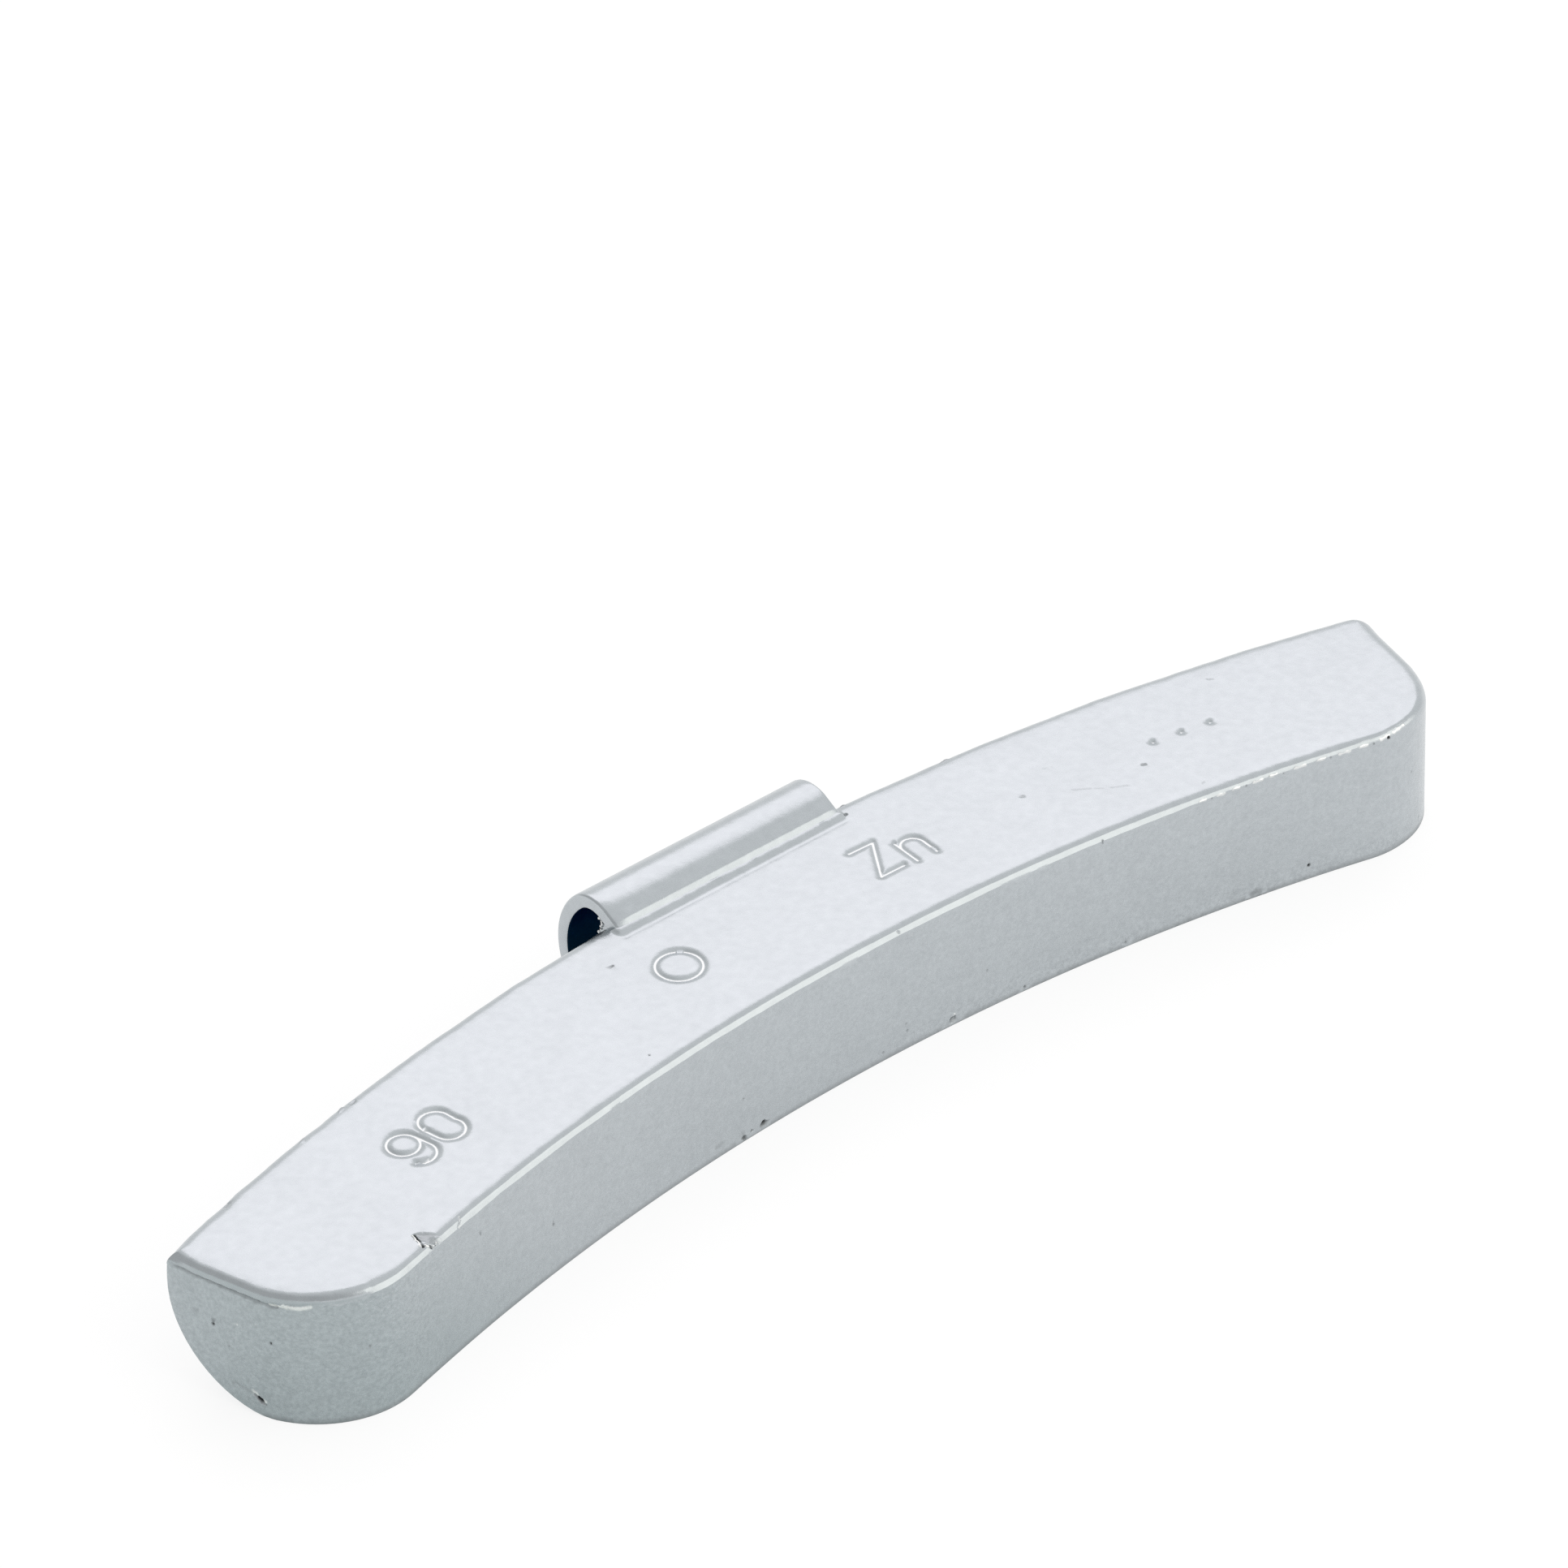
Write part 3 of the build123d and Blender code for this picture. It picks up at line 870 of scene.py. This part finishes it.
def silverCoat(name):
    material = bpy.data.materials.new(name)
    paint = Finish(material)
    place = paint.node("ShaderNodeTexCoord", output=3)
    cloud = paint.node("ShaderNodeTexNoise", inputs={"Vector": place, "Scale": 220, "Detail": 2})
    mottle = paint.node("ShaderNodeTexNoise", inputs={"Vector": place, "Scale": 1400, "Detail": 3})
    flake = paint.node("ShaderNodeTexNoise", inputs={"Vector": place, "Scale": 9000, "Detail": 2})
    sand = paint.node("ShaderNodeAttribute", {"attribute_name": "sand"}, output=2)
    grit = paint.node("ShaderNodeTexNoise", inputs={"Vector": place, "Scale": 3500, "Detail": 2})
    shade = cloud * 0.3 + mottle * 0.8 + flake * 0.4 + (grit - 0.5) * sand * 2.2 - 0.25
    tone = blend(paint, shade, coat["dark"], coat["light"])
    # the dark tone carries dirt and the shade painted into pits, cracks, grooves and along the foot
    dirtAndShade = paint.node("ShaderNodeAttribute", {"attribute_name": "dirtAndShade"}, output=2)
    bare = paint.node("ShaderNodeAttribute", {"attribute_name": "bare"}, output=2)
    tone = blend(paint, bare, blend(paint, dirtAndShade, tone, coat["dirtAndShade"]), coat["bare"])
    skin = paint.node("ShaderNodeBump", inputs={
        "Strength": 0.2, "Distance": 0.0001,
        "Height": cloud * 0.6 + mottle * 0.8 + flake * 0.2 + grit * sand * 3.2})
    surface = paint.node("ShaderNodeBsdfPrincipled", inputs={
        "Base Color": tone, "Metallic": 1 - dirtAndShade * 0.8,
        "Roughness": coat["roughness"] + (flake - 0.5) * 0.12 + dirtAndShade * 0.3, "Normal": skin})
    paint.node("ShaderNodeOutputMaterial", inputs={"Surface": surface})
    return material


# near-black steel inside the roll, dark enough to also paint the shade in there
steel = {
    "dark": (0.002, 0.011, 0.024, 1),
    "light": (0.008, 0.028, 0.052, 1),
    "rim": (0.1, 0.3, 0.5, 1),        # what a grazing look sees
    "roughness": 0.45,
}


def darkSteel(name):
    material = bpy.data.materials.new(name)
    paint = Finish(material)
    place = paint.node("ShaderNodeTexCoord", output=3)
    scale = paint.node("ShaderNodeTexNoise", inputs={"Vector": place, "Scale": 1500, "Detail": 4})
    tone = blend(paint, scale, steel["dark"], steel["light"])
    surface = paint.node("ShaderNodeBsdfPrincipled", inputs={
        "Base Color": tone, "Metallic": 1.0, "Roughness": steel["roughness"] + scale * 0.2,
        "Specular Tint": steel["rim"]})
    paint.node("ShaderNodeOutputMaterial", inputs={"Surface": surface})
    return material


barCoat = silverCoat("bar_silver_coat")
clipCoat = silverCoat("clip_silver_coat")
rollSteel = darkSteel("roll_steel_and_shade")

weightBar = makeBar()
shapeRim(weightBar)
sinkMarks(weightBar)
refine(weightBar)
sculpt(weightBar)
bendBar(weightBar)
closeUp(weightBar)
toMetres(weightBar)
weightBar.data.materials.append(barCoat)
workOn(weightBar)
bpy.ops.object.shade_smooth_by_angle(angle=math.radians(28))

rolledClip, rollHeart = makeClip()
rolledClip.data.materials.append(clipCoat)
rolledClip.data.materials.append(rollSteel)
steelAndShadeInside(rolledClip, rollHeart)
fillWedge(rolledClip)
addCrumbs(rolledClip)
toMetres(rolledClip)
workOn(rolledClip)
bpy.ops.object.shade_smooth_by_angle(angle=math.radians(40))

for piece, node, slot in ((weightBar, "cast_body", "body_coat"),
                          (rolledClip, "spring_clip", "clip_coat")):
    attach(piece, "root")
    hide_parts(node)


# floor, light and camera

stage = {
    "floor": 6.0,
    "paper": (0.82, 0.82, 0.82, 1),
    "seenPaper": (0.24, 0.24, 0.24, 1),       # the camera sees a white floor that keeps a shadow
    "seenGlow": 0.80,
    "metalPaper": (0.60, 0.60, 0.60, 1),      # and so does the metal, apart from the patch of painted shade
    "metalGlow": 0.53,
    # shade painted on the floor in front of the left end, fanning out to the left, which only the metal sees;
    # it stands in for the dark side of the studio
    "paintedShade": {"centre": (-0.0565, -0.018), "near": 0.010, "far": 0.036, "fan": 20,
            "colour": (0.53, 0.615, 0.60, 1)},
    "leftSky": 0.66,
    "rightSky": 1.0,
    "skyTurn": (-0.35, 0.25),                 # the sky brightens between these, from left to right
    "lampsFar": 0.9,
}

letGo()
bpy.ops.mesh.primitive_plane_add(size=stage["floor"], location=(0, 0, 0))
floor = bpy.context.object
floor.name = "pale_floor"
paperSheet = bpy.data.materials.new("pale_paper")
paper = Finish(paperSheet)
mixed = paper.node("ShaderNodeBsdfDiffuse", inputs={"Color": stage["paper"]})
spot = paper.node("ShaderNodeTexCoord", output=3)
sideways = paper.node("ShaderNodeSeparateXYZ", inputs=[spot], output=0)
behind = paper.node("ShaderNodeSeparateXYZ", inputs=[spot], output=1)
paintedShade = stage["paintedShade"]
# the patch of painted shade, by how far each place is from it
right = paper.node("ShaderNodeMath", {"operation": "MAXIMUM"}, [sideways - paintedShade["centre"][0], 0.0])
left = paper.node("ShaderNodeMath", {"operation": "MAXIMUM"}, [paintedShade["centre"][0] - sideways, 0.0])
spread = paper.node("ShaderNodeMath", {"operation": "DIVIDE"}, [1.0, left * paintedShade["fan"] + 1])
off = (behind - paintedShade["centre"][1]) * spread
away = paper.node("ShaderNodeMath", {"operation": "SQRT"}, [right * right + off * off])
share = paper.node("ShaderNodeMapRange", {"interpolation_type": "SMOOTHSTEP"}, {
    "Value": away, "From Min": paintedShade["near"], "From Max": paintedShade["far"], "To Min": 1.0, "To Max": 0.0})
tints = {"seenPaper": (1, 1, 1, 1), "metalPaper": blend(paper, share, (1, 1, 1, 1), paintedShade["colour"])}
for rays, paint, strength in ((("Is Camera Ray",), "seenPaper", "seenGlow"),
                              (("Is Glossy Ray", "Is Transmission Ray"), "metalPaper", "metalGlow")):
    shade = paper.node("ShaderNodeBsdfDiffuse", inputs={"Color": stage[paint]})
    glow = paper.node("ShaderNodeEmission", inputs={"Strength": stage[strength], "Color": tints[paint]})
    white = paper.node("ShaderNodeAddShader", inputs=[shade, glow])
    for ray in rays:
        sees = paper.node("ShaderNodeLightPath", output=ray)
        mixed = paper.node("ShaderNodeMixShader", inputs=[sees, mixed, white])
paper.node("ShaderNodeOutputMaterial", inputs={"Surface": mixed})
floor.data.materials.append(paperSheet)

scene = bpy.context.scene
room = bpy.data.worlds.new("white_room")
scene.world = room
sky = Finish(room)
facing = sky.node("ShaderNodeTexCoord", output=0)
sideways = sky.node("ShaderNodeSeparateXYZ", inputs=[facing], output=0)
level = sky.node("ShaderNodeMapRange", {"interpolation_type": "SMOOTHSTEP"}, {
    "Value": sideways, "From Min": stage["skyTurn"][0], "From Max": stage["skyTurn"][1],
    "To Min": stage["leftSky"], "To Max": stage["rightSky"]})
direct = sky.node("ShaderNodeLightPath", output="Is Camera Ray")
air = sky.node("ShaderNodeBackground", inputs={
    "Color": (1, 1, 1, 1), "Strength": level * (1 - direct) + direct})
sky.node("ShaderNodeOutputWorld", inputs={"Surface": air})

# compass bearing from the back of the bar towards its right end, and height, in degrees
lamps = {
    "back_softbox": {"bearing": 44, "height": 43, "size": (0.76, 0.55), "glow": 0.775,
                     "colour": (1.0, 0.916, 0.948)},
    "front_softbox": {"bearing": 146, "height": 21, "size": (0.97, 0.69), "glow": 0.77,
                      "colour": (1.0, 0.96, 0.865)},
}
for name, lamp in lamps.items():
    light = bpy.data.lights.new(name, "AREA")
    light.shape = "RECTANGLE"
    light.size, light.size_y = lamp["size"]
    light.energy = lamp["glow"] * math.pi * light.size * light.size_y
    light.color = lamp["colour"]
    holder = bpy.data.objects.new(name, light)
    turn, rise = math.radians(lamp["bearing"]), math.radians(lamp["height"])
    aim = Vector((math.sin(turn) * math.cos(rise), math.cos(turn) * math.cos(rise), math.sin(rise)))
    holder.location = aim * stage["lampsFar"] + Vector((0, 0, 0.01))
    holder.rotation_euler = (-aim).to_track_quat("-Z", "Y").to_euler()
    holder.visible_camera = False
    scene.collection.objects.link(holder)

view = {
    "target": (9.436, 11.299, 10.15),
    "azimuth": -42.039,
    "elevation": 35.314,
    "far": 554.19,
    "lens": 186.335,
}
turn, rise = math.radians(view["azimuth"]), math.radians(view["elevation"])
back = Vector((math.sin(turn) * math.cos(rise), -math.cos(turn) * math.cos(rise), math.sin(rise)))
lens = bpy.data.cameras.new("camera")
lens.lens = view["lens"]
lens.sensor_width = 36
lens.clip_start, lens.clip_end = 0.01, 20
camera = bpy.data.objects.new("camera", lens)
camera.location = (Vector(view["target"]) + back * view["far"]) * mm
camera.rotation_euler = (-back).to_track_quat("-Z", "Y").to_euler()
scene.collection.objects.link(camera)
scene.camera = camera
scene.view_settings.view_transform = "Standard"

letGo()
